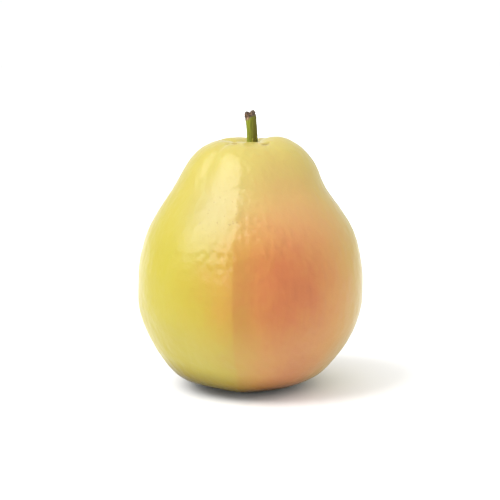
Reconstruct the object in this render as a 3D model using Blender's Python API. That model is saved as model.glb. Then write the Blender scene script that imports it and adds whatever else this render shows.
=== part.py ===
"""Guava: a pear-shaped fruit standing on its blossom end, with its stalk and its dried calyx.

Metres, +Z up. The origin is the middle of the flat ring that the fruit rests on, and the
front, where the skin has its one sharp ridge, faces -Y.
"""

import math

import bmesh
import bpy
from mathutils import Matrix, Vector

MM = 0.001

# The fruit's outline as (radius, height), from its lower pole to its upper pole. The straight
# step from the first run to the second is the flat ring that the fruit rests on.
CALYX_HOLLOW = ((0.0, 3.4), (3.2, 3.4), (5.6, 2.9), (6.8, 1.6), (7.4, 0.0))
BODY = (
    (11.3, 0.0),
    (13.4, 0.6),
    (18.4, 2.4),
    (25.9, 6.0),
    (31.7, 12.0),
    (36.5, 20.0),
    (39.4, 29.0),
    (39.9, 38.0),
    (38.9, 47.0),
    (36.4, 56.0),
    (31.7, 64.5),
    (26.6, 72.0),
    (23.2, 78.5),
    (19.7, 83.5),
    (15.9, 86.8),
    (12.4, 88.3),
    (7.2, 88.5),
    (4.6, 87.6),
    (3.2, 86.5),
    (2.2, 86.2),
    (0.0, 86.2),
)
OUTLINE_STEPS = 2
FRUIT_SIDES = 72

# Angles are seen from above, counted from the front towards +X.
RIDGE_ANGLE = math.radians(-8.0)
RIDGE_WIDTH = math.radians(11.0)
RIDGE_RISE = 0.018
# Each furrow between two lobes as (angle in degrees, depth by the stem, rise of the underside).
FURROWS = (
    (30.0, 0.35, 0.5),
    (98.0, 1.1, 0.9),
    (172.0, 0.6, 1.1),
    (-114.0, 1.0, 1.0),
    (-46.0, 0.3, 1.6),
)
FURROW_WIDTH = math.radians(13.0)
FURROW_RADIUS = 7.0
FURROW_REACH = 4.5
UNDERSIDE_FURROW_WIDTH = math.radians(24.0)
UNDERSIDE_RADIUS = 20.0
UNDERSIDE_REACH = 6.5
# The lobes fade out below the shoulder, and everything fades out towards the poles.
LOBE_HEIGHT = 90.0
LOBE_REACH = 26.0
LOBE_FALL = 0.02
LOBE_SWELL = 0.006
POLE_RADIUS = 15.0
TOP_START = 60.0
RIGHT_LOBE_ANGLE = math.radians(62.0)
RIGHT_LOBE_WIDTH = math.radians(38.0)
RIGHT_LOBE_LIFT = 0.9
RIGHT_LOBE_RADIUS = 11.0
RIGHT_LOBE_REACH = 6.0

GAP = 0.3
STEM_RADIUS = 1.72
STEM_FOOT = BODY[-1][1] + GAP
# The stalk's middle line as (x, height, share of the stem radius).
STEM_LINE = (
    (0.9, STEM_FOOT, 1.12),
    (0.9, 88.6, 1.02),
    (0.75, 92.0, 0.97),
    (0.45, 95.2, 1.0),
    (0.25, 96.9, 1.08),
    (0.2, 97.9, 1.0),
)
STEM_RESOLUTION = 3
# The two knobs of the dried cut end as (x, y, height, radius).
STEM_KNOBS = ((-0.65, -0.2, 97.6, 0.95), (0.95, 0.15, 97.75, 0.85))

CALYX_SIDES = 30
CALYX_RADIUS = 4.9
CALYX_ROOF = CALYX_HOLLOW[0][1] - GAP
CALYX_THICKNESS = 0.7
CALYX_INNER_SHARE = 0.72
SEPAL_COUNT = 5
SEPAL_LENGTH = 1.5
SEPAL_TIP_SHARE = 0.35


def material(name, colour, roughness):
    made = bpy.data.materials.new(name)
    made.use_nodes = True
    shader = made.node_tree.nodes["Principled BSDF"]
    shader.inputs["Base Color"].default_value = (*colour, 1.0)
    shader.inputs["Roughness"].default_value = roughness
    shader.inputs["Metallic"].default_value = 0.0
    made.diffuse_color = (*colour, 1.0)
    return made


def add_object(name, mesh, look, collection):
    made = bpy.data.objects.new(name, mesh)
    mesh.materials.append(look)
    mesh.shade_smooth()
    mesh.set_sharp_from_angle(angle=math.radians(50.0))
    collection.objects.link(made)
    return made


def clear_scene():
    for old in list(bpy.data.objects):
        bpy.data.objects.remove(old, do_unlink=True)


def smooth_run(points, steps):
    """Points on a Catmull-Rom curve through these, with this many steps for each span."""
    ends = [Vector(p) for p in points]
    ends = [2 * ends[0] - ends[1], *ends, 2 * ends[-1] - ends[-2]]
    run = []
    for a, b, c, d in zip(ends, ends[1:], ends[2:], ends[3:]):
        reach = (c - b).length
        out_slope = (c - a) * reach / ((c - b).length + (b - a).length)
        in_slope = (d - b) * reach / ((d - c).length + (c - b).length)
        for step in range(steps):
            t = step / steps
            run.append(
                b * (2 * t**3 - 3 * t**2 + 1)
                + out_slope * (t**3 - 2 * t**2 + t)
                + c * (3 * t**2 - 2 * t**3)
                + in_slope * (t**3 - t**2)
            )
    run.append(ends[-2])
    return run


def turn_between(angle, other):
    """The turn from one angle to another, the short way round."""
    return (angle - other + math.pi) % (2 * math.pi) - math.pi


def bell(distance, width):
    return math.exp(-((distance / width) ** 2))


def skin_point(radius, height, angle):
    """Where the skin is, in mm, once the ridge, lobes and furrows have shaped the outline."""
    away_from_pole = min(1.0, radius / POLE_RADIUS)
    ridge = math.exp(-abs(turn_between(angle, RIDGE_ANGLE)) / RIDGE_WIDTH)
    fall = 0.0
    dip = 0.0
    rise = 0.0
    for degrees, depth, underside in FURROWS:
        turn = turn_between(angle, math.radians(degrees))
        fall += bell(turn, FURROW_WIDTH)
        dip += depth * bell(turn, FURROW_WIDTH)
        rise += underside * bell(turn, UNDERSIDE_FURROW_WIDTH)
    lobes = (LOBE_SWELL - LOBE_FALL * fall) * bell(height - LOBE_HEIGHT, LOBE_REACH)
    out = radius * (1 + (RIDGE_RISE * ridge + lobes) * away_from_pole)
    if height > TOP_START:
        turn = turn_between(angle, RIGHT_LOBE_ANGLE)
        height += (
            RIGHT_LOBE_LIFT
            * bell(turn, RIGHT_LOBE_WIDTH)
            * bell(radius - RIGHT_LOBE_RADIUS, RIGHT_LOBE_REACH)
        )
        height -= dip * bell(radius - FURROW_RADIUS, FURROW_REACH)
    elif radius > BODY[0][0]:
        height += rise * bell(radius - UNDERSIDE_RADIUS, UNDERSIDE_REACH)
    return Vector((out * math.sin(angle), -out * math.cos(angle), height))


def make_fruit(collection):
    rings = smooth_run(CALYX_HOLLOW, OUTLINE_STEPS) + smooth_run(BODY, OUTLINE_STEPS)
    shape = bmesh.new()
    bmesh.ops.create_uvsphere(
        shape, u_segments=FRUIT_SIDES, v_segments=len(rings) - 1, radius=1.0
    )
    for point in shape.verts:
        from_below = math.acos(max(-1.0, min(1.0, -point.co.z)))
        ring = rings[round(from_below / math.pi * (len(rings) - 1))]
        angle = math.atan2(point.co.x, -point.co.y) + RIDGE_ANGLE
        point.co = MM * skin_point(ring.x, ring.y, angle)
    mesh = bpy.data.meshes.new("fruit")
    shape.to_mesh(mesh)
    shape.free()
    add_object("fruit", mesh, material("guava_skin", (0.67, 0.50, 0.15), 0.35), collection)


def make_stem(collection):
    line = bpy.data.curves.new("stem_line", "CURVE")
    line.dimensions = "3D"
    line.bevel_depth = STEM_RADIUS * MM
    line.bevel_resolution = STEM_RESOLUTION
    line.resolution_u = STEM_RESOLUTION
    line.use_fill_caps = True
    stalk = line.splines.new("BEZIER")
    stalk.bezier_points.add(len(STEM_LINE) - 1)
    for point, (x, height, share) in zip(stalk.bezier_points, STEM_LINE):
        point.co = (x * MM, 0.0, height * MM)
        point.radius = share
        point.handle_left_type = "AUTO"
        point.handle_right_type = "AUTO"
    guide = bpy.data.objects.new("stem_guide", line)
    collection.objects.link(guide)
    graph = bpy.context.evaluated_depsgraph_get()
    mesh = bpy.data.meshes.new_from_object(guide.evaluated_get(graph))
    bpy.data.objects.remove(guide, do_unlink=True)
    shape = bmesh.new()
    shape.from_mesh(mesh)
    bmesh.ops.remove_doubles(shape, verts=shape.verts, dist=0.00001)
    bmesh.ops.recalc_face_normals(shape, faces=shape.faces)
    shape.to_mesh(mesh)
    shape.free()
    return add_object("stem", mesh, material("stem_green", (0.22, 0.26, 0.03), 0.5), collection)


def make_stem_knobs(stem, cutters):
    """Joins the lumps of the dried cut end to the stalk."""
    for index, (x, y, height, radius) in enumerate(STEM_KNOBS):
        shape = bmesh.new()
        bmesh.ops.create_icosphere(
            shape,
            subdivisions=2,
            radius=radius * MM,
            matrix=Matrix.Translation((x * MM, y * MM, height * MM)),
        )
        mesh = bpy.data.meshes.new(f"stem_knob_{index + 1}")
        shape.to_mesh(mesh)
        shape.free()
        knob = bpy.data.objects.new(mesh.name, mesh)
        knob.hide_render = True
        knob.display_type = "WIRE"
        cutters.objects.link(knob)
        join = stem.modifiers.new(mesh.name, "BOOLEAN")
        join.operation = "UNION"
        join.object = knob


def make_calyx(collection):
    """A dried disc with a ring of short sepals that bend in under it."""
    shape = bmesh.new()
    bmesh.ops.create_cone(
        shape,
        cap_ends=True,
        segments=CALYX_SIDES,
        radius1=CALYX_RADIUS * MM,
        radius2=CALYX_RADIUS * MM,
        depth=CALYX_THICKNESS * MM,
        matrix=Matrix.Translation((0.0, 0.0, (CALYX_ROOF - CALYX_THICKNESS / 2) * MM)),
    )
    under = [face for face in shape.faces if face.normal.z < -0.9]
    rim_width = CALYX_RADIUS * (1 - CALYX_INNER_SHARE) * MM
    rim = bmesh.ops.inset_region(shape, faces=under, thickness=rim_width)["faces"]
    rim.sort(key=lambda face: math.atan2(*face.calc_center_median().xy))
    per_sepal = CALYX_SIDES // SEPAL_COUNT
    for sepal in range(SEPAL_COUNT):
        start = sepal * per_sepal
        root = rim[start : start + per_sepal - 1]
        grown = bmesh.ops.extrude_face_region(shape, geom=root)["geom"]
        tip = [item for item in grown if isinstance(item, bmesh.types.BMVert)]
        middle = sum((point.co for point in tip), Vector()) / len(tip)
        for point in tip:
            point.co = middle + (point.co - middle) * SEPAL_TIP_SHARE
            point.co.xy *= CALYX_INNER_SHARE
            point.co.z -= SEPAL_LENGTH * MM
        bmesh.ops.delete(shape, geom=root, context="FACES_KEEP_BOUNDARY")
    bmesh.ops.recalc_face_normals(shape, faces=shape.faces)
    mesh = bpy.data.meshes.new("calyx")
    shape.to_mesh(mesh)
    shape.free()
    add_object("calyx", mesh, material("dried_calyx", (0.12, 0.07, 0.03), 0.8), collection)


def main():
    clear_scene()
    guava = bpy.data.collections.new("guava")
    cutters = bpy.data.collections.new("guava_cutters")
    bpy.context.scene.collection.children.link(guava)
    bpy.context.scene.collection.children.link(cutters)
    make_fruit(guava)
    stem = make_stem(guava)
    make_stem_knobs(stem, cutters)
    make_calyx(guava)


main()
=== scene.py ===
"""The looks of a guava: waxy skin that turns from yellow-green to a blush, a green stalk with a
dried cut end, and the dried calyx under the fruit.

Metres, +Z up, in the CAD model's frame: the fruit stands on z = 0, and its ridge faces -Y.
"""

import math

import bpy
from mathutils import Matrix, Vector, noise


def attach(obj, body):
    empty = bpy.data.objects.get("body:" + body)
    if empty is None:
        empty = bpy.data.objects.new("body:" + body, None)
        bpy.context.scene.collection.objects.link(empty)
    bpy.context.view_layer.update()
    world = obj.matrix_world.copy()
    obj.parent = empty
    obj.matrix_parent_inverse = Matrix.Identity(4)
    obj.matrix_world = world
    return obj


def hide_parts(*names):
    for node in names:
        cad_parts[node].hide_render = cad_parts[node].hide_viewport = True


MM = 0.001

# The fruit's outline in mm as (radius, height), out of the calyx hollow, over the flat ring
# that it rests on, up the body and down into the stem hollow.
CALYX_HOLLOW = ((0.8, 3.4), (3.2, 3.4), (5.6, 2.9), (6.8, 1.6), (7.4, 0.0))
BODY = (
    (11.3, 0.0),
    (13.6, 0.6),
    (18.8, 1.9),
    (26.0, 5.4),
    (31.8, 11.6),
    (36.5, 20.0),
    (39.4, 29.0),
    (39.9, 38.0),
    (38.9, 47.0),
    (36.4, 56.0),
    (31.7, 64.5),
    (26.6, 72.0),
    (23.2, 78.5),
    (19.7, 83.5),
    (15.9, 86.8),
    (12.4, 88.3),
    (7.2, 88.5),
    (4.6, 87.6),
    (3.2, 86.5),
    (2.2, 86.2),
    (0.8, 86.2),
)
WIDEST = 39.9
RING_SPACING = 2.9
SIDES = 88
SKIN_LEVELS = 2
FLAT_RING_EDGE = 11.3
# The underside is below the first height in mm, and the crown round the stalk above the second.
UNDERSIDE_TOP = 25.0
CROWN_FOOT = 60.0
# Nearer to the middle line than this, in mm, the ridge and the lobes fade out.
POLE_REACH = 15.0

# Angles are seen from above, counted from the front towards +X.
RIDGE_ANGLE = math.radians(-8.0)
RIDGE_WIDTH = math.radians(11.0)
RIDGE_RISE = 0.72
# How far the ridge strays from side to side on its way up.
RIDGE_WANDER = math.radians(2.2)
# Each furrow between two lobes as (angle in degrees, depth by the stem, rise of the underside).
FURROWS = (
    (30.0, 0.35, 0.3),
    (98.0, 1.1, 0.3),
    (172.0, 0.6, 1.1),
    (-114.0, 1.0, 0.5),
    (-46.0, 0.3, 0.4),
)
FURROW_WIDTH = math.radians(13.0)
UNDERSIDE_FURROW_WIDTH = math.radians(24.0)
DEEPEST_FURROW = 1.1
HIGHEST_RISE = 1.6
# The furrows between the lobes press in most at this height and fade over this reach, in mm.
LOBE_HEIGHT = 90.0
LOBE_REACH = 26.0

# Single swellings and dips of the skin as (angle, reach to each side, middle, reach), the angles
# in degrees and the rest in mm. The middle is a distance from the stalk's line for those on the
# crown and underneath, and a height for those on the sides.
RIGHT_LOBE = (62.0, 38.0, 11.0, 6.0)
FRONT_LIP = (6.0, 26.0, 12.0, 4.0)
RIDGE_FOOT = (-41.0, 17.0, 15.0, 6.0)
RIDGE_FOOT_EDGE = 11.0
RIGHT_SHOULDER = (84.0, 34.0, 82.0, 9.0)
LEFT_SHOULDER_FURROW = (-40.0, 7.5, 83.5, 6.0)
RIGHT_SIDE = (94.0, 48.0, 42.0, 28.0)
FOOT_SIDE = (68.0, 36.0, 9.0, 5.5)
FULL_FOOT = (-62.0, 30.0, 5.0, 5.0)

# The folds beside the stalk, each from one (x, y) in mm to another.
CREASES = (
    ((-7.6, -8.6), (-4.4, -11.6)),
    ((4.5, -12.0), (6.6, -10.0)),
)
# The middles of the patches of pebbled, shrunken skin, as (x, height) in mm.
ROUGH_SPOTS = ((-11.5, 53.0), (3.0, 61.5), (7.0, 56.0))
ROUGH_REACH = 7.0
# The wrinkles go round this angle and height in mm, this many radians of a wave to each mm.
WRINKLE_ANGLE = math.radians(22.0)
WRINKLE_HEIGHT = 43.0
WRINKLE_PACE = 2.1

# Where the skin has ripened, each as (centre in mm, reach across, reach up, amount).
RIPE_PATCHES = (
    ((15.0, -24.0, 38.0), 38.0, 67.0, 0.59),
    ((-2.0, -30.0, 41.0), 34.0, 34.0, 0.26),
    ((8.0, -20.0, 8.0), 20.0, 50.0, 0.25),
    ((-16.0, 32.0, 52.0), 26.0, 34.0, 0.20),
    ((22.0, 26.0, 26.0), 22.0, 26.0, 0.16),
)
# The skin's hues from unripe to the middle of the blush.
RIPENING = (
    (0.0, "A0942D"),
    (0.12, "A1902C"),
    (0.225, "A28A2D"),
    (0.45, "A77F31"),
    (0.675, "AA7335"),
    (0.9, "A56034"),
    (1.0, "9D5932"),
)

# The ripeness at which the blush is at its deepest.
FULL_BLUSH = 0.622
# Pale wax, which also carries painted sheen towards the crown and the edges.
WAX_BLOOM_AND_SHEEN = "C2B08C"
# Painted shade beside the ridge's edge.
RIDGE_SHADE = "BEBAA8"
# Painted highlight tone, under the card's reflection on the left shoulder.
SHOULDER_HIGHLIGHT_TONE = "988B4A"
# Brown of the folds, partly russet and partly painted shade, and of the pores.
FOLD_BROWN = "6E5024"
# Painted shade at the foot, over skin that is greener there.
FOOT_SHADE_TINT = "BCAE4E"
FOOT_OLIVE_SHADE = "3C3608"

# Painted lit and shaded greens of the stalk.
STALK_LIT_GREEN = "788212"
STALK_SHADED_OLIVE = "565200"
STALK_FIBRE = "3E3E02"
STALK_SPOT = "8E8828"
DRIED_END = ((0.38, "2A2016"), (0.52, "5E452E"), (0.66, "9A7E62"))
DRIED_GREY = "322D26"
SEPAL_BROWNS = ("5C3B22", "8A6238")
SEPAL_VEIN = "33200F"

# The stalk's middle line as (x, height, radius) in mm, from the skin up to the dried end.
STEM_LINE = (
    (1.0, 86.0, 1.95),
    (1.0, 86.9, 1.92),
    (1.02, 88.6, 1.88),
    (0.99, 90.4, 1.85),
    (0.87, 92.2, 1.85),
    (0.72, 93.8, 1.86),
    (0.57, 95.2, 1.92),
    (0.46, 96.3, 1.97),
    (0.4, 97.0, 1.9),
    (0.36, 97.4, 1.5),
)
STEM_SIDES = 20
STEM_RIBS = 11.0
# The heights in mm that the ribs end at and that the dried, crumpled end begins at.
RIBS_TOP = 96.0
DRIED_FOOT = 95.6
# The lumps of the dried end as (x, y, height, radius) in mm.
STEM_LUMPS = (
    (-0.85, -0.35, 97.55, 0.95),
    (1.2, -0.1, 97.95, 0.95),
    (0.2, 0.9, 97.2, 0.85),
    (0.0, -1.2, 96.8, 0.65),
    (-1.0, 0.6, 96.8, 0.8),
    (1.6, 0.5, 96.9, 0.8),
)

CALYX_RADIUS = 4.7
CALYX_ROOF = 3.05
SEPAL_COUNT = 5
# The way that a sepal curls, each step as (outward, down, share of its width) in mm.
SEPAL_CURL = (
    (0.25, 0.4, 1.0),
    (0.05, 0.55, 0.95),
    (-0.45, 0.45, 0.85),
    (-0.7, 0.12, 0.7),
    (-0.6, -0.15, 0.45),
)
# Each step over the underside of the calyx disc as (inwards, down) in mm.
DISC_STEPS = ((0.5, 0.25), (0.9, -0.35), (1.9, 0.1), (0.9, 0.9), (0.12, 0.4))

# The middle of the fruit, which the camera and the lights are placed round, in metres.
FRUIT_MIDDLE = Vector((0, 0, 0.045))
CAMERA_AIM = Vector((0.0002, 0, 0.0491))
CAMERA_ELEVATION = math.radians(10.0)
CAMERA_DISTANCE = 0.5


def srgb(hex_colour):
    """The linear colour of an sRGB hex value."""
    channels = [int(hex_colour[i : i + 2], 16) / 255 for i in (0, 2, 4)]
    linear = [c / 12.92 if c <= 0.04045 else ((c + 0.055) / 1.055) ** 2.4 for c in channels]
    return (*linear, 1.0)


def add_node(tree, kind, inputs=None, stops=None, **settings):
    """Adds a node with its settings. An input is a value, or the output that links to it."""
    made = tree.nodes.new(kind)
    for name, value in settings.items():
        setattr(made, name, value)
    for socket, value in (inputs or {}).items():
        if isinstance(value, bpy.types.NodeSocket):
            tree.links.new(value, made.inputs[socket])
        else:
            made.inputs[socket].default_value = value
    for index, (place, colour) in enumerate(stops or ()):
        elements = made.color_ramp.elements
        stop = elements[index] if index < len(elements) else elements.new(place)
        stop.position = place
        stop.color = srgb(colour)
    return made


def new_material(name):
    made = bpy.data.materials.new(name)
    made.use_nodes = True
    made.node_tree.nodes.clear()
    return made, made.node_tree


def turn_between(angle, other):
    """The turn from one angle to another, the short way round."""
    return (angle - other + math.pi) % (2 * math.pi) - math.pi


def bell(distance, width):
    return math.exp(-((distance / width) ** 2))


def smooth_run(points, spacing):
    """Points about this far apart on a Catmull-Rom curve through these."""
    ends = [Vector(p) for p in points]
    ends = [2 * ends[0] - ends[1], *ends, 2 * ends[-1] - ends[-2]]
    run = []
    for a, b, c, d in zip(ends, ends[1:], ends[2:], ends[3:]):
        reach = (c - b).length
        out_slope = (c - a) * reach / ((c - b).length + (b - a).length)
        in_slope = (d - b) * reach / ((d - c).length + (c - b).length)
        steps = max(1, round(reach / spacing))
        for step in range(steps):
            t = step / steps
            run.append(
                b * (2 * t**3 - 3 * t**2 + 1)
                + out_slope * (t**3 - 2 * t**2 + t)
                + c * (3 * t**2 - 2 * t**3)
                + in_slope * (t**3 - t**2)
            )
    run.append(ends[-2])
    return run


def deselect_all():
    if bpy.context.object and bpy.context.object.mode != "OBJECT":
        bpy.ops.object.mode_set(mode="OBJECT")
    bpy.ops.object.select_all(action="DESELECT")


def apply_modifier(piece, kind, name, **settings):
    made = piece.modifiers.new(name, kind)
    for setting, value in settings.items():
        setattr(made, setting, value)
    bpy.ops.object.modifier_apply(modifier=made.name)


def brush_and_push(piece, name, weight_at, depth, direction="NORMAL", texture=None):
    """Moves the skin by depth in mm where weight_at(radius, height, angle) is 1."""
    group = piece.vertex_groups.new(name=name)
    for point in piece.data.vertices:
        x, y, z = point.co / MM
        weight = weight_at(math.hypot(x, y), z, math.atan2(x, -y))
        if weight > 0.002:
            group.add([point.index], weight, "REPLACE")
    apply_modifier(
        piece,
        "DISPLACE",
        name,
        vertex_group=name,
        strength=depth * MM,
        direction=direction,
        mid_level=0.5 if texture else 0.0,
        texture=texture,
        texture_coords="LOCAL",
    )
    piece.vertex_groups.remove(piece.vertex_groups[name])


def paint(piece, name, weight_at):
    """Stores weight_at(radius, height, angle) on the piece for its material to read."""
    weights = []
    for point in piece.data.vertices:
        x, y, z = point.co / MM
        weights.append(weight_at(math.hypot(x, y), z, math.atan2(x, -y)))
    piece.data.attributes.new(name, "FLOAT", "POINT").data.foreach_set("value", weights)


def clouds(name, size, depth=0):
    made = bpy.data.textures.new(name, "CLOUDS")
    made.noise_scale = size * MM
    made.noise_depth = depth
    made.noise_type = "SOFT_NOISE"
    return made


def pull_up(name, rings, sides, turn=0.0):
    """Pulls a round piece up ring by ring, each ring as (middle x, height, radius) in mm."""
    deselect_all()
    across, height, radius = rings[0]
    bpy.ops.mesh.primitive_circle_add(
        vertices=sides,
        radius=radius * MM,
        fill_type="TRIFAN",
        location=(across * MM, 0, height * MM),
        rotation=(0, 0, turn),
    )
    piece = bpy.context.object
    piece.name = name
    bpy.ops.object.transform_apply(location=True, rotation=True)
    bpy.ops.object.mode_set(mode="EDIT")
    bpy.ops.mesh.select_mode(type="EDGE")
    bpy.ops.mesh.select_all(action="DESELECT")
    bpy.ops.mesh.select_non_manifold()
    for (x, z, r), (next_x, next_z, next_r) in zip(rings, rings[1:]):
        step = ((next_x - x) * MM, 0, (next_z - z) * MM)
        bpy.ops.mesh.extrude_edges_move(TRANSFORM_OT_translate={"value": step})
        bpy.ops.transform.resize(
            value=(next_r / r, next_r / r, 1), center_override=(next_x * MM, 0, next_z * MM)
        )
    bpy.ops.mesh.extrude_edges_move()
    bpy.ops.mesh.merge(type="CENTER")
    bpy.ops.mesh.select_all(action="SELECT")
    bpy.ops.mesh.normals_make_consistent(inside=False)
    bpy.ops.object.mode_set(mode="OBJECT")
    return piece


def off_the_flat(radius, height):
    """0 on the flat ring and in the calyx hollow, and 1 on the rest of the skin."""
    on_the_skin = radius > FLAT_RING_EDGE or height > CROWN_FOOT
    return min(1.0, max(0.0, (height - 1.2) / 3.0)) if on_the_skin else 0.0


def spot_weight(spot, angle, distance):
    """1 at the middle of a swelling or dip, fading with the turn and the distance from there."""
    middle_angle, sweep, middle, reach = spot
    turn = turn_between(angle, math.radians(middle_angle))
    return bell(turn, math.radians(sweep)) * bell(distance - middle, reach)


def ridge_weight(radius, height, angle):
    wander = RIDGE_WANDER * noise.noise(Vector((0.0, 0.0, height / 3.0)))
    turn = abs(turn_between(angle, RIDGE_ANGLE + wander))
    away_from_pole = min(1.0, radius / POLE_REACH) * min(1.0, max(0.0, height / 3.0))
    return math.exp(-turn / RIDGE_WIDTH) * away_from_pole * radius / WIDEST


def furrow_turns(angle):
    """Each furrow's turn from this angle, with its depth and its rise of the underside."""
    return [(turn_between(angle, math.radians(at)), dip, rise) for at, dip, rise in FURROWS]


def shoulder_weight(radius, height, angle):
    falls = sum(bell(turn, FURROW_WIDTH) for turn, dip, rise in furrow_turns(angle))
    up = bell(height - LOBE_HEIGHT, LOBE_REACH)
    return falls * up * min(1.0, radius / POLE_REACH) * radius / WIDEST


def stem_furrow_weight(radius, height, angle):
    dips = sum(dip * bell(turn, FURROW_WIDTH) for turn, dip, rise in furrow_turns(angle))
    return dips / DEEPEST_FURROW * bell(radius - 7.0, 4.5) if height > CROWN_FOOT else 0.0


def right_lobe_weight(radius, height, angle):
    return spot_weight(RIGHT_LOBE, angle, radius) if height > CROWN_FOOT else 0.0


def underside_weight(radius, height, angle):
    if height > UNDERSIDE_TOP or radius < FLAT_RING_EDGE:
        return 0.0
    turns = furrow_turns(angle)
    rises = sum(rise * bell(turn, UNDERSIDE_FURROW_WIDTH) for turn, dip, rise in turns)
    return min(1.0, rises / HIGHEST_RISE) * bell(radius - 20.0, 6.5)


def crease_weight(radius, height, angle):
    """Thin folds beside the stalk, where the lobes meet, which taper to both ends."""
    if height < CROWN_FOOT:
        return 0.0
    place = Vector((radius * math.sin(angle), -radius * math.cos(angle)))
    folds = 0.0
    for start, end in CREASES:
        start, end = Vector(start), Vector(end)
        along = (place - start).dot(end - start) / (end - start).length_squared
        along = min(1.0, max(0.0, along))
        width = 0.3 + 0.35 * math.sin(along * math.pi)
        folds = max(folds, bell((place - start.lerp(end, along)).length, width))
    return folds


def right_shoulder_weight(radius, height, angle):
    return spot_weight(RIGHT_SHOULDER, angle, height)


def left_shoulder_furrow_weight(radius, height, angle):
    return spot_weight(LEFT_SHOULDER_FURROW, angle, height)


def right_side_weight(radius, height, angle):
    return spot_weight(RIGHT_SIDE, angle, height)


def front_lip_weight(radius, height, angle):
    return spot_weight(FRONT_LIP, angle, radius) if height > CROWN_FOOT else 0.0


def ridge_foot_weight(radius, height, angle):
    """The dip beside the foot of the ridge, which leaves the foot standing out."""
    if height > UNDERSIDE_TOP or radius < RIDGE_FOOT_EDGE:
        return 0.0
    return spot_weight(RIDGE_FOOT, angle, radius)


def foot_side_weight(radius, height, angle):
    """The tucked-in right side of the foot."""
    return spot_weight(FOOT_SIDE, angle, height) if height > 1 else 0.0


def full_foot_weight(radius, height, angle):
    """The full left side of the foot."""
    return spot_weight(FULL_FOOT, angle, height) if height > 1 else 0.0


def pebble_weight(radius, height, angle):
    """Faint pebbles over all the skin, and stronger ones along the middle of the ridge."""
    along_ridge = bell(turn_between(angle, RIDGE_ANGLE), math.radians(12.0))
    return (0.4 + 0.6 * along_ridge * bell(height - 62.0, 22.0)) * off_the_flat(radius, height)


def rough_weight(radius, height, angle):
    if abs(angle) > math.radians(80.0):
        return 0.0
    across = radius * math.sin(angle)
    return max(bell(math.hypot(across - x, height - z), ROUGH_REACH) for x, z in ROUGH_SPOTS)


def wrinkle_weight(radius, height, angle):
    """Short, uneven arcs round the middle of the blush, where the skin has begun to shrink."""
    across = (angle - WRINKLE_ANGLE) * WIDEST
    along = height - WRINKLE_HEIGHT
    place = Vector((across, along, 0.0))
    reach = math.hypot(across, along * 0.75) + 2.2 * noise.noise(place / 5.0)
    wave = 0.5 + 0.5 * math.sin(reach * WRINKLE_PACE)
    broken = min(1.0, max(0.0, 0.5 + 2.0 * noise.noise(place / 3.5 + Vector((7.0, 3.0, 1.0)))))
    return wave * broken * bell(reach - 9.0, 7.0)


def make_fruit(look):
    outline = smooth_run(CALYX_HOLLOW, RING_SPACING) + smooth_run(BODY, RING_SPACING)
    rings = [(0.0, point.y, point.x) for point in outline]
    fruit = pull_up("guava_fruit", rings, SIDES, RIDGE_ANGLE)
    apply_modifier(fruit, "SUBSURF", "soften", levels=SKIN_LEVELS, render_levels=SKIN_LEVELS)
    brush_and_push(fruit, "ridge", ridge_weight, RIDGE_RISE)
    brush_and_push(fruit, "shoulders", shoulder_weight, -0.8)
    brush_and_push(fruit, "stem_furrows", stem_furrow_weight, -1.1, "Z")
    brush_and_push(fruit, "right_lobe", right_lobe_weight, 0.9, "Z")
    brush_and_push(fruit, "right_shoulder", right_shoulder_weight, 1.1)
    brush_and_push(fruit, "left_shoulder_furrow", left_shoulder_furrow_weight, -0.6)
    brush_and_push(fruit, "underside", underside_weight, 1.6, "Z")
    brush_and_push(fruit, "creases", crease_weight, -0.75)
    lumps = clouds("lumps", 13.0)
    brush_and_push(fruit, "lumps", lambda r, z, a: off_the_flat(r, z), 0.7, texture=lumps)
    brush_and_push(fruit, "right_side", right_side_weight, 0.85)
    brush_and_push(fruit, "front_lip", front_lip_weight, -0.45, "Z")
    brush_and_push(fruit, "ridge_foot", ridge_foot_weight, 2.2, "Z")
    brush_and_push(fruit, "foot_side", foot_side_weight, -0.7)
    brush_and_push(fruit, "full_foot", full_foot_weight, 0.6)
    brush_and_push(fruit, "wrinkles", wrinkle_weight, 0.2)
    pebbles = clouds("pebbles", 2.4, depth=1)
    brush_and_push(fruit, "pebbles", pebble_weight, 0.55, texture=pebbles)
    rough = clouds("rough", 1.8, depth=1)
    brush_and_push(fruit, "rough", rough_weight, 0.9, texture=rough)
    paint(fruit, "folds", crease_weight)
    bpy.ops.object.shade_smooth()
    fruit.data.materials.append(look)
    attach(fruit, "root")
    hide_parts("fruit")


def stem_rib_weight(radius, height, angle):
    """Fine ribs along the stalk, which fade out at its dried end."""
    ribs = 0.5 + 0.5 * math.sin(angle * STEM_RIBS + 0.9 * math.sin(height * 0.9))
    return ribs * (1.0 if height < RIBS_TOP else 0.3)


def dried_end_weight(radius, height, angle):
    return min(1.0, max(0.0, height - DRIED_FOOT))


def make_stem(look):
    stem = pull_up("guava_stem", STEM_LINE, STEM_SIDES)
    lumps = []
    for x, y, height, radius in STEM_LUMPS:
        deselect_all()
        bpy.ops.mesh.primitive_ico_sphere_add(
            subdivisions=3, radius=radius * MM, location=(x * MM, y * MM, height * MM)
        )
        bpy.ops.object.transform_apply(location=True)
        lumps.append(bpy.context.object)
    deselect_all()
    for piece in (*lumps, stem):
        piece.select_set(True)
    bpy.context.view_layer.objects.active = stem
    bpy.ops.object.join()
    apply_modifier(stem, "REMESH", "grow_together", mode="VOXEL", voxel_size=0.12 * MM)
    apply_modifier(stem, "SMOOTH", "weathered", factor=0.5, iterations=5)
    brush_and_push(stem, "ribs", stem_rib_weight, 0.09)
    crumple = clouds("crumple", 0.9, depth=2)
    brush_and_push(stem, "crumple", dried_end_weight, 0.55, texture=crumple)
    bark = clouds("bark", 0.6)
    brush_and_push(stem, "bark", lambda r, z, a: 1.0, 0.07, texture=bark)
    bpy.ops.object.shade_smooth()
    stem.data.materials.append(look)
    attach(stem, "root")
    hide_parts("stem")


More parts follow.
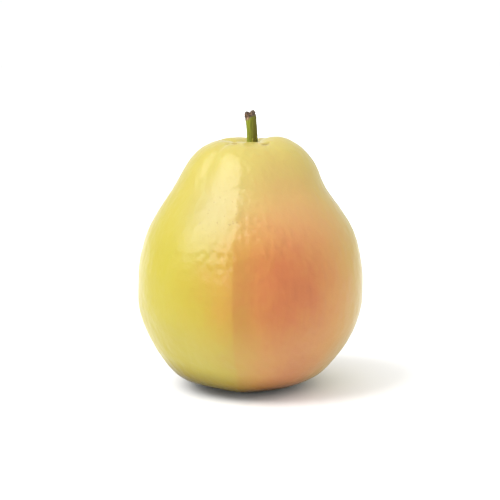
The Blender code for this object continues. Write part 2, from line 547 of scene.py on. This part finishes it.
def select_where(piece, wanted):
    """Leaves only the points selected, in edit mode, that wanted(place in mm) holds for."""
    bpy.ops.object.mode_set(mode="OBJECT")
    for item in (*piece.data.polygons, *piece.data.edges):
        item.select = False
    for point in piece.data.vertices:
        point.select = wanted(point.co / MM)
    bpy.ops.object.mode_set(mode="EDIT")
    bpy.ops.mesh.select_mode(type="VERT")


def make_sepal():
    """A dried sepal: a strip that hangs from the disc's rim, tapers and curls in under it."""
    deselect_all()
    rim = -CALYX_RADIUS * MM
    roof = (CALYX_ROOF - 0.3) * MM
    bpy.ops.mesh.primitive_plane_add(size=2.8 * MM, location=(0, rim + 0.3 * MM, roof))
    sepal = bpy.context.object
    bpy.ops.object.transform_apply(location=True)
    bpy.ops.object.mode_set(mode="EDIT")
    bpy.ops.mesh.select_all(action="SELECT")
    bpy.ops.transform.resize(value=(1, 0.25, 1), center_override=(0, rim + 0.3 * MM, roof))
    bpy.ops.mesh.subdivide(number_cuts=3)
    select_where(sepal, lambda p: p.y < -CALYX_RADIUS - 0.04)
    bpy.ops.mesh.select_mode(type="EDGE")
    place = Vector((0, rim - 0.05 * MM, roof))
    for out, down, share in SEPAL_CURL:
        step = Vector((0, -out, -down)) * MM
        place += step
        bpy.ops.mesh.extrude_edges_move(TRANSFORM_OT_translate={"value": step})
        bpy.ops.transform.resize(value=(share, 1, 1), center_override=place)
    bpy.ops.mesh.select_all(action="SELECT")
    bpy.ops.mesh.remove_doubles(threshold=0.02 * MM)
    bpy.ops.mesh.normals_make_consistent(inside=False)
    bpy.ops.object.mode_set(mode="OBJECT")
    apply_modifier(sepal, "SOLIDIFY", "papery", thickness=0.28 * MM, offset=0.0)
    apply_modifier(sepal, "SUBSURF", "curled", levels=2, render_levels=2)
    return sepal


def make_calyx_disc():
    """The dried scar of the flower, dished, with the stub of its style in the middle."""
    deselect_all()
    bpy.ops.mesh.primitive_cylinder_add(
        vertices=40,
        radius=CALYX_RADIUS * MM,
        depth=0.6 * MM,
        location=(0, 0, (CALYX_ROOF - 0.3) * MM),
    )
    disc = bpy.context.object
    bpy.ops.object.transform_apply(location=True)
    for inset, drop in DISC_STEPS:
        if disc.mode != "EDIT":
            select_where(disc, lambda p: p.z < CALYX_ROOF - 0.5)
            bpy.ops.mesh.select_mode(type="FACE")
        bpy.ops.mesh.inset(thickness=inset * MM)
        bpy.ops.transform.translate(value=(0, 0, -drop * MM))
    bpy.ops.object.mode_set(mode="OBJECT")
    apply_modifier(disc, "BEVEL", "worn", width=0.12 * MM, segments=2)
    apply_modifier(disc, "SUBSURF", "soften", levels=1, render_levels=1)
    return disc


def make_calyx(look):
    first = make_sepal()
    sepals = [first]
    for index in range(1, SEPAL_COUNT):
        deselect_all()
        first.select_set(True)
        bpy.context.view_layer.objects.active = first
        bpy.ops.object.duplicate()
        copy = bpy.context.object
        copy.rotation_euler.z = math.tau * index / SEPAL_COUNT
        bpy.ops.object.transform_apply(rotation=True)
        sepals.append(copy)
    calyx = make_calyx_disc()
    deselect_all()
    for piece in (*sepals, calyx):
        piece.select_set(True)
    bpy.context.view_layer.objects.active = calyx
    bpy.ops.object.join()
    calyx.name = "guava_calyx"
    crumple = clouds("sepal_crumple", 1.1, depth=2)
    brush_and_push(calyx, "crumple", lambda r, z, a: 1.0, 0.35, texture=crumple)
    bpy.ops.object.shade_smooth()
    calyx.data.materials.append(look)
    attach(calyx, "root")
    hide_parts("calyx")


def combine(tree, operation, first, second, third=None):
    """The output of a sum on two or three values, each a number or an output."""
    inputs = {0: first, 1: second}
    if third is not None:
        inputs[2] = third
    return add_node(tree, "ShaderNodeMath", inputs, operation=operation).outputs[0]


def fade(tree, value, start, end, low=0.0, high=1.0):
    """Goes softly from low to high as the value goes from start to end."""
    inputs = {"Value": value, "From Min": start, "From Max": end, "To Min": low, "To Max": high}
    made = add_node(tree, "ShaderNodeMapRange", inputs, interpolation_type="SMOOTHSTEP")
    return made.outputs["Result"]


def speckle(tree, place, size, detail=2.0, squash=None):
    """Noise with grains of this size in mm, drawn out along Z where squash is under 1."""
    if squash:
        stretch = {"Vector": place, "Scale": (1.0, 1.0, squash)}
        place = add_node(tree, "ShaderNodeMapping", stretch).outputs[0]
    inputs = {"Vector": place, "Scale": 1.0 / (size * MM), "Detail": detail}
    return add_node(tree, "ShaderNodeTexNoise", inputs)


def blend_colours(tree, share, first, second, mode="MIX"):
    inputs = {0: share, 6: first, 7: second}
    made = add_node(tree, "ShaderNodeMix", inputs, data_type="RGBA", blend_type=mode)
    return made.outputs[2]


def nearness(tree, place, middle, across, up, amount):
    """amount at the middle, fading to 0 at this reach across and up, all three in mm."""
    sizes = (across * MM, across * MM, up * MM)
    scale = [1 / size for size in sizes]
    offset = [-spot * MM / size for spot, size in zip(middle, sizes)]
    near = {0: place, 1: scale, 2: offset}
    near = add_node(tree, "ShaderNodeVectorMath", near, operation="MULTIPLY_ADD").outputs[0]
    reach = add_node(tree, "ShaderNodeVectorMath", {0: near}, operation="LENGTH")
    return fade(tree, reach.outputs["Value"], 1.0, 0.0, 0.0, amount)


def ripeness(tree, place):
    """How far the skin has turned from yellow-green to the blush, from 0 to 1."""
    wobble = speckle(tree, place, 9.0, 2.0).outputs["Color"]
    shift = {0: wobble, 1: (0.004,) * 3, 2: (-0.002,) * 3}
    shift = add_node(tree, "ShaderNodeVectorMath", shift, operation="MULTIPLY_ADD").outputs[0]
    place = add_node(tree, "ShaderNodeVectorMath", {0: place, 1: shift}, operation="ADD")
    total = 0.0
    for middle, across, up, amount in RIPE_PATCHES:
        spot = place.outputs[0]
        patch = nearness(tree, spot, middle, across, up, amount / FULL_BLUSH)
        total = combine(tree, "ADD", total, patch)
    return total


def skin_material():
    """Waxy guava skin: a clear sheen over flesh that glows a little, with fine pores. It is
    dull where the fruit has stood.
    """
    made, tree = new_material("waxy_guava_skin")
    place = add_node(tree, "ShaderNodeTexCoord").outputs["Object"]
    parts = add_node(tree, "ShaderNodeSeparateXYZ", {0: place})
    height = parts.outputs["Z"]

    # The skin is riper to the right of the ridge's edge, mottled, and streaked from top to bottom.
    ripe = ripeness(tree, place)
    across = (math.cos(RIDGE_ANGLE), math.sin(RIDGE_ANGLE), 0.0)
    across = add_node(tree, "ShaderNodeVectorMath", {0: place, 1: across}, operation="DOT_PRODUCT")
    across = across.outputs["Value"]
    step = fade(tree, across, -0.0008, 0.0008, -0.045, 0.045)
    step = combine(tree, "MULTIPLY", step, fade(tree, height, 0.075, 0.06))
    ripe = combine(tree, "ADD", ripe, step)
    mottle = speckle(tree, place, 5.0, 4.0).outputs["Fac"]
    streaks = speckle(tree, place, 1.6, 2.0, squash=0.16).outputs["Fac"]
    ripe = combine(tree, "MULTIPLY_ADD", mottle, 0.12, combine(tree, "SUBTRACT", ripe, 0.06))
    ripe = combine(tree, "MULTIPLY_ADD", streaks, 0.12, combine(tree, "SUBTRACT", ripe, 0.06))
    hue = add_node(tree, "ShaderNodeValToRGB", {"Fac": ripe}, stops=RIPENING).outputs["Color"]

    # Painted shade on the side of the ridge that faces away from the light: the skin just right of
    # the ridge's edge is a little darker.
    beside_ridge = combine(tree, "ABSOLUTE", combine(tree, "SUBTRACT", across, 0.0022), 0.0)
    shade = fade(tree, beside_ridge, 0.007, 0.001, 0.0, 0.24)
    shade = combine(tree, "MULTIPLY", shade, fade(tree, across, -0.0008, 0.0006, 0.5, 1.0))
    shade = combine(tree, "MULTIPLY", shade, fade(tree, height, 0.06, 0.048))
    shade = combine(tree, "MULTIPLY", shade, fade(tree, height, 0.016, 0.034))
    hue = blend_colours(tree, shade, hue, srgb(RIDGE_SHADE), "MULTIPLY")
    # Painted highlight tone on the left shoulder: the skin under the card's reflection is duller,
    # so that the reflection reads whiter.
    shoulder = nearness(tree, place, (-13.0, -28.0, 68.0), 17.0, 27.0, 0.8)
    hue = blend_colours(tree, shoulder, hue, srgb(SHOULDER_HIGHLIGHT_TONE))
    # Painted sheen over a little pale wax: paler on the right away from the middle of the front,
    # and towards the crown. The skin is also a little paler low on the left.
    bloom_and_sheen = {0: place, 1: (20.0, 20.0, 36.0), 2: (0.08, 0.72, -1.55)}
    bloom_and_sheen = add_node(tree, "ShaderNodeVectorMath", bloom_and_sheen, operation="MULTIPLY_ADD").outputs[0]
    bloom_and_sheen = add_node(tree, "ShaderNodeVectorMath", {0: bloom_and_sheen}, operation="LENGTH")
    bloom_and_sheen = fade(tree, bloom_and_sheen.outputs["Value"], 0.3, 1.0, 0.0, 0.15)
    bloom_and_sheen = combine(tree, "MULTIPLY", bloom_and_sheen, fade(tree, across, -0.03, 0.006))
    bloom_and_sheen = combine(tree, "ADD", bloom_and_sheen, fade(tree, height, 0.05, 0.075, 0.0, 0.08))
    low_left_pale = nearness(tree, place, (-26.0, -28.0, 20.0), 26.0, 22.0, 0.08)
    bloom_and_sheen = combine(tree, "ADD", bloom_and_sheen, low_left_pale)
    hue = blend_colours(tree, bloom_and_sheen, hue, srgb(WAX_BLOOM_AND_SHEEN))
    # Painted shade at the foot, over skin that is greener there: darker, duller and greener
    # towards the floor, from a little higher up on the left.
    low = combine(tree, "MULTIPLY_ADD", parts.outputs["X"], 0.12, height)
    hue = blend_colours(tree, fade(tree, low, 0.0122, 0.003), hue, srgb(FOOT_SHADE_TINT), "MULTIPLY")
    hue = blend_colours(tree, fade(tree, low, 0.0062, 0.0008, 0.0, 0.88), hue, srgb(FOOT_OLIVE_SHADE))
    # The folds beside the stalk are browner: partly russet, partly painted shade.
    folds = add_node(tree, "ShaderNodeAttribute", attribute_name="folds").outputs["Fac"]
    folds = combine(tree, "MULTIPLY", folds, 0.7)
    hue = blend_colours(tree, folds, hue, srgb(FOLD_BROWN))

    pores = fade(tree, speckle(tree, place, 1.0, 0.0).outputs["Fac"], 0.71, 0.77)
    among = nearness(tree, place, (-9.0, -30.0, 66.0), 13.0, 15.0, 0.4)
    pores = combine(tree, "MULTIPLY", pores, among)
    hue = blend_colours(tree, pores, hue, srgb(FOLD_BROWN))

    pits = speckle(tree, place, 0.8, 2.0).outputs["Fac"]
    relief = {"Height": pits, "Strength": 0.5, "Distance": 0.0001}
    relief = add_node(tree, "ShaderNodeBump", relief).outputs["Normal"]
    # The wax is rubbed off where the fruit has stood.
    sheen = fade(tree, low, 0.001, 0.015, 0.08, 0.4)
    shader = add_node(
        tree,
        "ShaderNodeBsdfPrincipled",
        {
            "Base Color": hue,
            "Roughness": 0.29,
            "IOR": 1.38,
            "Subsurface Weight": 0.15,
            "Subsurface Radius": (1.0, 0.5, 0.2),
            "Subsurface Scale": 0.0015,
            "Specular IOR Level": sheen,
            "Coat Weight": 0.06,
            "Coat Roughness": 0.1,
            "Normal": relief,
        },
    )
    add_node(tree, "ShaderNodeOutputMaterial", {"Surface": shader.outputs[0]})
    return made


def stalk_material():
    """Green young wood, fibrous and dull, that has dried to brown at its torn end."""
    made, tree = new_material("green_stalk_wood")
    place = add_node(tree, "ShaderNodeTexCoord").outputs["Object"]
    parts = add_node(tree, "ShaderNodeSeparateXYZ", {0: place})
    fibres = speckle(tree, place, 0.35, 3.0, squash=0.1).outputs["Fac"]
    blotches = speckle(tree, place, 1.3, 3.0).outputs["Fac"]

    # Painted light and shade: the stalk is paler green on its left, towards the light, and olive
    # on its right.
    lit_side = combine(tree, "MULTIPLY_ADD", fibres, 0.0012, parts.outputs["X"])
    lit_side = fade(tree, lit_side, -0.0006, 0.0026)
    green = blend_colours(tree, lit_side, srgb(STALK_LIT_GREEN), srgb(STALK_SHADED_OLIVE))
    dark = fade(tree, fibres, 0.42, 0.7, 0.0, 0.45)
    green = blend_colours(tree, dark, green, srgb(STALK_FIBRE))
    spots = speckle(tree, place, 0.7, 0.0).outputs["Fac"]
    low = fade(tree, parts.outputs["Z"], 0.0915, 0.0895)
    spots = combine(tree, "MULTIPLY", fade(tree, spots, 0.72, 0.76), low)
    green = blend_colours(tree, spots, green, srgb(STALK_SPOT))

    edge = combine(tree, "MULTIPLY_ADD", blotches, 0.0022, parts.outputs["Z"])
    edge = combine(tree, "MULTIPLY_ADD", parts.outputs["X"], -0.55, edge)
    dried = fade(tree, edge, 0.0965, 0.0978)
    browns = add_node(tree, "ShaderNodeValToRGB", {"Fac": blotches}, stops=DRIED_END)
    grey_side = fade(tree, parts.outputs["X"], 0.0, 0.0012, 0.0, 0.7)
    brown = blend_colours(tree, grey_side, browns.outputs["Color"], srgb(DRIED_GREY))
    colour = blend_colours(tree, dried, green, brown)

    relief = {"Height": fibres, "Strength": 0.5, "Distance": 0.0001}
    relief = add_node(tree, "ShaderNodeBump", relief).outputs["Normal"]
    shader = add_node(
        tree,
        "ShaderNodeBsdfPrincipled",
        {"Base Color": colour, "Roughness": 0.6, "Specular IOR Level": 0.25, "Normal": relief},
    )
    add_node(tree, "ShaderNodeOutputMaterial", {"Surface": shader.outputs[0]})
    return made


def sepal_material():
    """Dried sepals: brown and papery, with darker veins."""
    made, tree = new_material("dried_sepal")
    place = add_node(tree, "ShaderNodeTexCoord").outputs["Object"]
    veins = speckle(tree, place, 0.45, 3.0, squash=0.3).outputs["Fac"]
    blotches = speckle(tree, place, 1.8, 2.0).outputs["Fac"]
    brown = blend_colours(tree, fade(tree, blotches, 0.35, 0.65), *map(srgb, SEPAL_BROWNS))
    colour = blend_colours(tree, fade(tree, veins, 0.5, 0.7, 0.0, 0.6), brown, srgb(SEPAL_VEIN))
    relief = {"Height": veins, "Strength": 0.6, "Distance": 0.0001}
    relief = add_node(tree, "ShaderNodeBump", relief).outputs["Normal"]
    shader = add_node(
        tree,
        "ShaderNodeBsdfPrincipled",
        {"Base Color": colour, "Roughness": 0.8, "IOR": 1.45, "Normal": relief},
    )
    add_node(tree, "ShaderNodeOutputMaterial", {"Surface": shader.outputs[0]})
    return made


def make_floor():
    deselect_all()
    bpy.ops.mesh.primitive_plane_add(size=6.0)
    floor = bpy.context.object
    floor.name = "floor"
    made, tree = new_material("pale_floor")
    shader = add_node(
        tree,
        "ShaderNodeBsdfPrincipled",
        {"Base Color": (0.85, 0.85, 0.85, 1.0), "Roughness": 0.9, "Specular IOR Level": 0.0},
    )
    add_node(tree, "ShaderNodeOutputMaterial", {"Surface": shader.outputs[0]})
    floor.data.materials.append(made)


def add_light(name, kind, azimuth, elevation, distance, energy, **settings):
    """A light that faces the fruit. Its azimuth is counted from the front to +X."""
    light = bpy.data.lights.new(name, kind)
    light.energy = energy
    for setting, value in settings.items():
        setattr(light, setting, value)
    lamp = bpy.data.objects.new(name, light)
    bpy.context.scene.collection.objects.link(lamp)
    flat = math.cos(math.radians(elevation))
    way = Vector(
        (
            flat * math.sin(math.radians(azimuth)),
            -flat * math.cos(math.radians(azimuth)),
            math.sin(math.radians(elevation)),
        )
    )
    lamp.location = FRUIT_MIDDLE + way * distance
    lamp.rotation_euler = way.to_track_quat("Z", "Y").to_euler()
    return lamp


def soften_card(light):
    """Lets the card's light fade towards the side that is away from the camera."""
    light.use_nodes = True
    tree = light.node_tree
    place = add_node(tree, "ShaderNodeNewGeometry").outputs["Parametric"]
    parts = add_node(tree, "ShaderNodeSeparateXYZ", {0: place})
    glow = fade(tree, parts.outputs["X"], 0.0, 0.4)
    emission = tree.nodes["Emission"]
    tree.links.new(glow, emission.inputs["Strength"])


def light_the_set():
    """A pale surround, brighter in front, a broad window light for the shading and the shadow,
    and a card that only shows in the sheen.
    """
    world = bpy.data.worlds.new("studio")
    bpy.context.scene.world = world
    world.use_nodes = True
    tree = world.node_tree
    tree.nodes.clear()
    way = add_node(tree, "ShaderNodeTexCoord").outputs["Generated"]
    parts = add_node(tree, "ShaderNodeSeparateXYZ", {0: way})
    glow = fade(tree, parts.outputs["Y"], -1.0, 1.0, 1.54, 1.02)
    back = add_node(tree, "ShaderNodeBackground", {"Strength": glow})
    back.inputs["Color"].default_value = (1.0, 1.0, 1.0, 1.0)
    add_node(tree, "ShaderNodeOutputWorld", {"Surface": back.outputs[0]})

    window = add_light(
        "window",
        "SUN",
        azimuth=-66.0,
        elevation=49.0,
        distance=1.0,
        energy=2.8,
        angle=math.radians(40.0),
    )
    window.visible_glossy = False
    key = add_light(
        "key_card",
        "AREA",
        azimuth=-62.0,
        elevation=43.0,
        distance=0.75,
        energy=13.0,
        shape="RECTANGLE",
        size=1.0,
        size_y=0.84,
    )
    key.visible_diffuse = False
    soften_card(key.data)
    bpy.context.scene.view_settings.view_transform = "Standard"


def aim_camera():
    data = bpy.data.cameras.new("camera")
    data.sensor_width = 36.0
    data.lens = 100.7
    camera = bpy.data.objects.new("camera", data)
    bpy.context.scene.collection.objects.link(camera)
    way = Vector((0, -math.cos(CAMERA_ELEVATION), math.sin(CAMERA_ELEVATION)))
    camera.location = FRUIT_MIDDLE + CAMERA_DISTANCE * way
    camera.rotation_euler = (CAMERA_AIM - camera.location).to_track_quat("-Z", "Y").to_euler()
    bpy.context.scene.camera = camera


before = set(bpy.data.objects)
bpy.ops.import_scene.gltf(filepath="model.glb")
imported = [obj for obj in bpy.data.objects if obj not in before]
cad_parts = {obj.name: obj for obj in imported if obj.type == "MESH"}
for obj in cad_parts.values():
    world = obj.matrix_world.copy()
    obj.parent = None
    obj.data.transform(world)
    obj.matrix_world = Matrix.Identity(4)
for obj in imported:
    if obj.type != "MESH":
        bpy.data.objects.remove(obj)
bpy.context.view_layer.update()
aim_camera()
light_the_set()
make_floor()
make_fruit(skin_material())
make_stem(stalk_material())
make_calyx(sepal_material())
